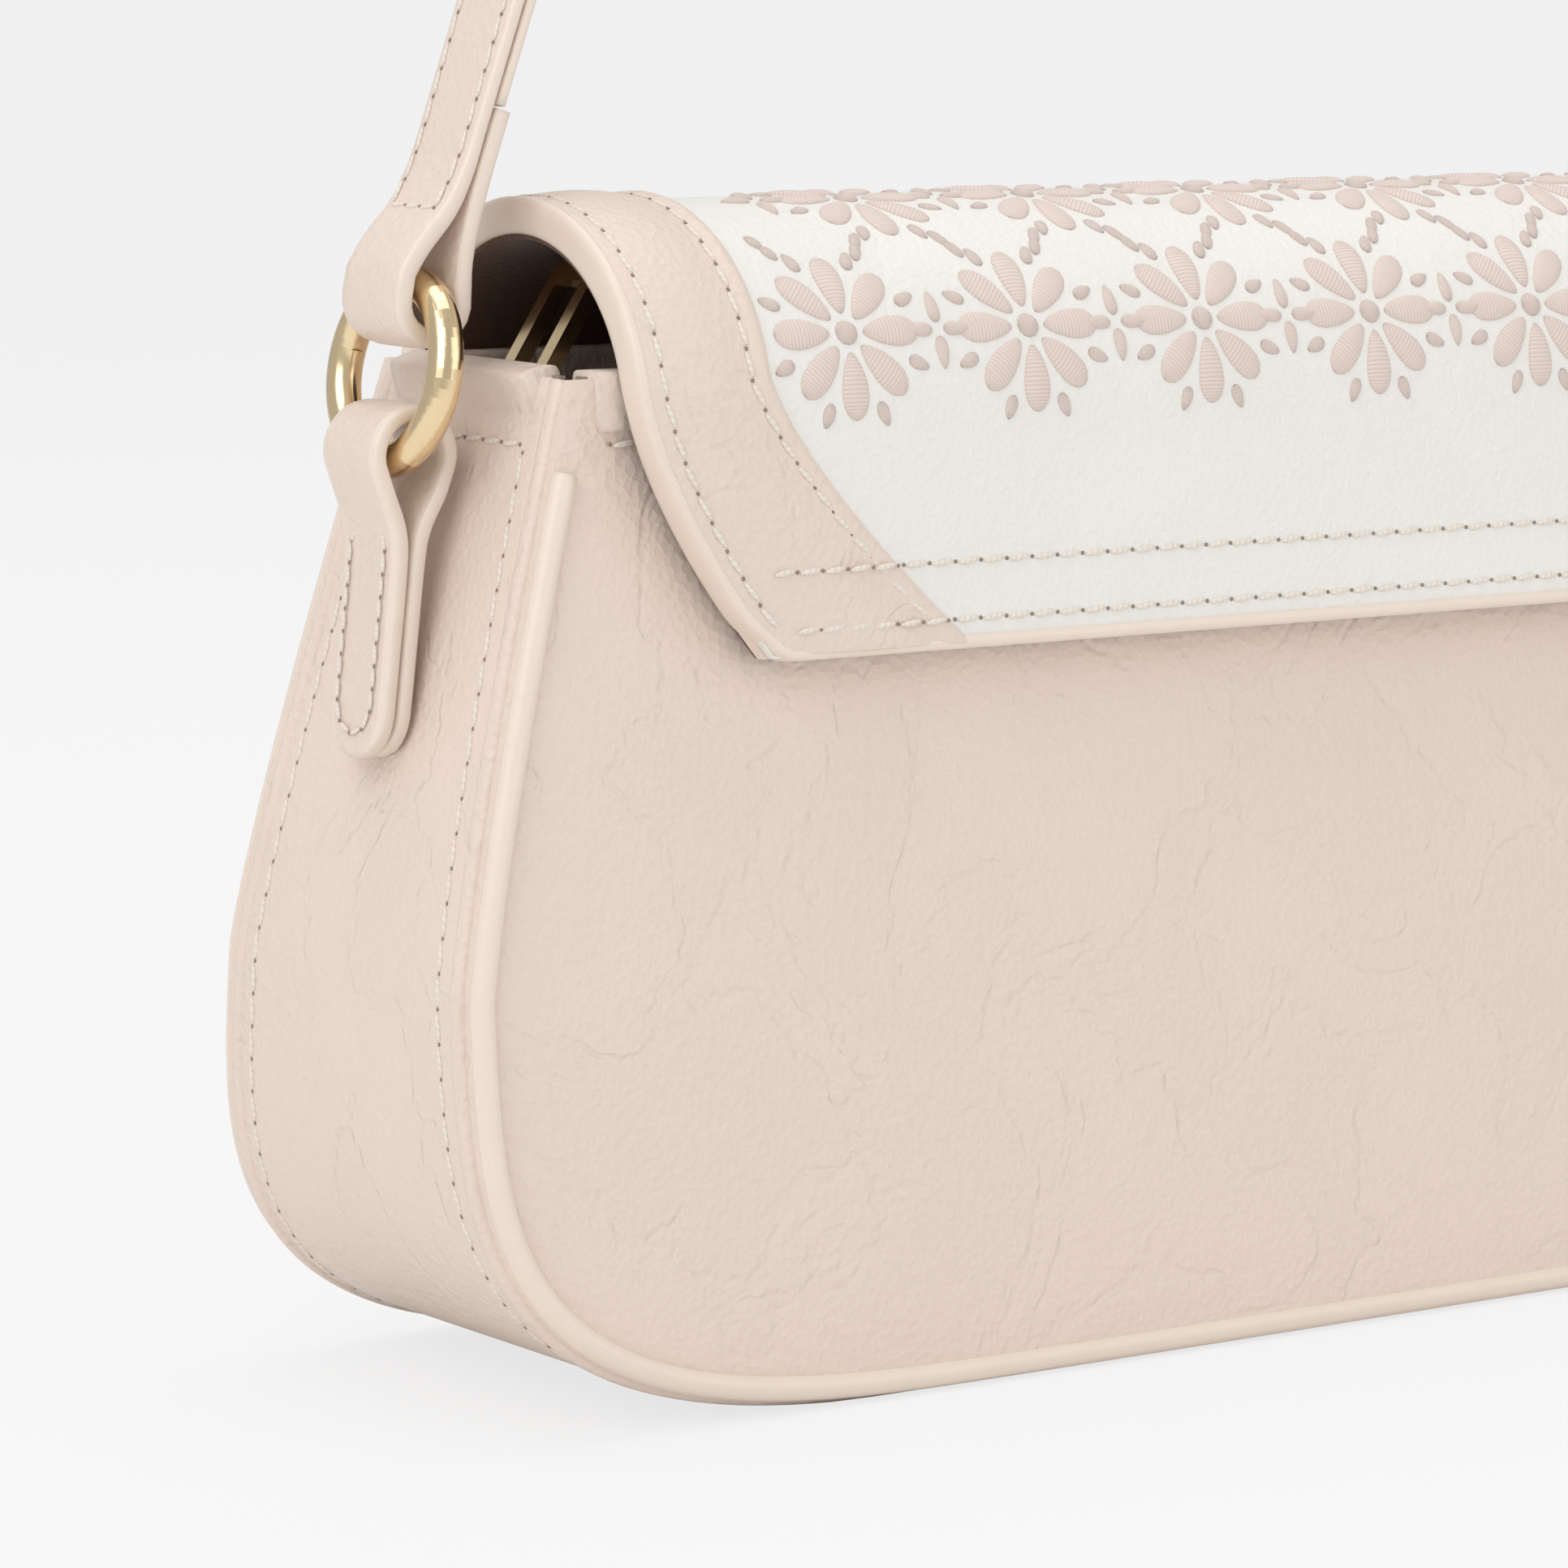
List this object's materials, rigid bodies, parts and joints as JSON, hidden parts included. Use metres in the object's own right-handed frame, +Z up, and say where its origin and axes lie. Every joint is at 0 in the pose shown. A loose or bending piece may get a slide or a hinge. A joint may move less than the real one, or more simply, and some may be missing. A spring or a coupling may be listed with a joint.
{
  "type": "baguette bag",
  "caption": "Small structured baguette shoulder bag with a domed flap over a short front drop, piped panels, looped end tabs with spring-gate rings, and a short shoulder strap.",
  "frame": {"origin": "centre of the bag's footprint on the surface it stands on", "axes": "+X along the bag's length, +Y towards its back (the flap drops down the -Y side), +Z up towards the strap"},
  "size_m": [0.26, 0.062, 0.3061],
  "materials": {
    "leather": "smooth beige calf leather with a fine grain",
    "edge_leather": "beige leather with painted edges",
    "white_leather": "off-white smooth leather with embroidery",
    "suede": "dark brown micro-suede",
    "board": "fibre board",
    "gold": "polished light gold plating",
    "magnet": "nickel plated magnet"
  },
  "bodies": {
    "bag": {"front_panel": "leather", "front_board": "board", "front_lining": "suede", "front_magnet": "magnet", "back_panel": "leather", "back_board": "board", "back_lining": "suede", "gusset": "leather", "gusset_board": "board", "gusset_lining": "suede", "front_seam_ridge": "leather", "back_seam_ridge": "leather", "front_piping": "edge_leather", "back_piping": "edge_leather", "front_mouth_binding": "leather", "back_mouth_binding": "leather", "gusset_binding_left": "leather", "gusset_binding_right": "leather", "base_board": "board", "slip_pocket": "suede", "flap_yoke": "leather", "tab_left": "leather", "tab_right": "leather", "inner_tab_left": "suede", "inner_tab_right": "suede"},
    "flap": {"flap_panel": "white_leather", "flap_band_left": "leather", "flap_band_right": "leather", "flap_core": "board", "flap_lining": "suede", "flap_magnet": "magnet"},
    "strap": {"strap_face": "leather", "strap_lining": "edge_leather"},
    "o_ring_left": {"o_ring_left": "gold", "gate_pin_left": "gold"},
    "o_ring_right": {"o_ring_right": "gold", "gate_pin_right": "gold"},
    "gate_left": {"gate_left": "gold"},
    "gate_right": {"gate_right": "gold"},
    "inner_ring_left": {"inner_ring_left": "gold"},
    "inner_ring_right": {"inner_ring_right": "gold"}
  },
  "joints": [
    {"name": "flap_open", "type": "hinge", "parent": "bag", "child": "flap", "pos_m": [0, 0.02455, 0.11427], "axis": [-1, 0, 0], "range_deg": [0, 165]},
    {"name": "strap_swing", "type": "hinge", "parent": "bag", "child": "strap", "pos_m": [0, 0, 0.118], "axis": [1, 0, 0], "range_deg": [-50, 50]},
    {"name": "ring_left_turn", "type": "hinge", "parent": "strap", "child": "o_ring_left", "pos_m": [-0.1235, 0, 0.118], "axis": [0.9848, 0, -0.1736], "range_deg": [-137, 180]},
    {"name": "ring_right_turn", "type": "hinge", "parent": "strap", "child": "o_ring_right", "pos_m": [0.1235, 0, 0.118], "axis": [0.9848, 0, 0.1736], "range_deg": [-137, 180]},
    {"name": "gate_left_open", "type": "hinge", "parent": "o_ring_left", "child": "gate_left", "pos_m": [-0.12486, 0.00656, 0.11031], "axis": [-0.9848, 0, 0.1736], "range_deg": [-18, 0], "stiffness_Nm_per_rad": 0.002, "springref_deg": 17.19},
    {"name": "gate_right_open", "type": "hinge", "parent": "o_ring_right", "child": "gate_right", "pos_m": [0.12486, 0.00656, 0.11031], "axis": [-0.9848, 0, -0.1736], "range_deg": [-18, 0], "stiffness_Nm_per_rad": 0.002, "springref_deg": 17.19},
    {"name": "inner_ring_left_tip", "type": "hinge", "parent": "bag", "child": "inner_ring_left", "pos_m": [-0.1076, 0, 0.114], "axis": [0, 1, 0], "range_deg": [-20, 140]},
    {"name": "inner_ring_right_tip", "type": "hinge", "parent": "bag", "child": "inner_ring_right", "pos_m": [0.1076, 0, 0.114], "axis": [0, -1, 0], "range_deg": [-20, 140]}
  ]
}
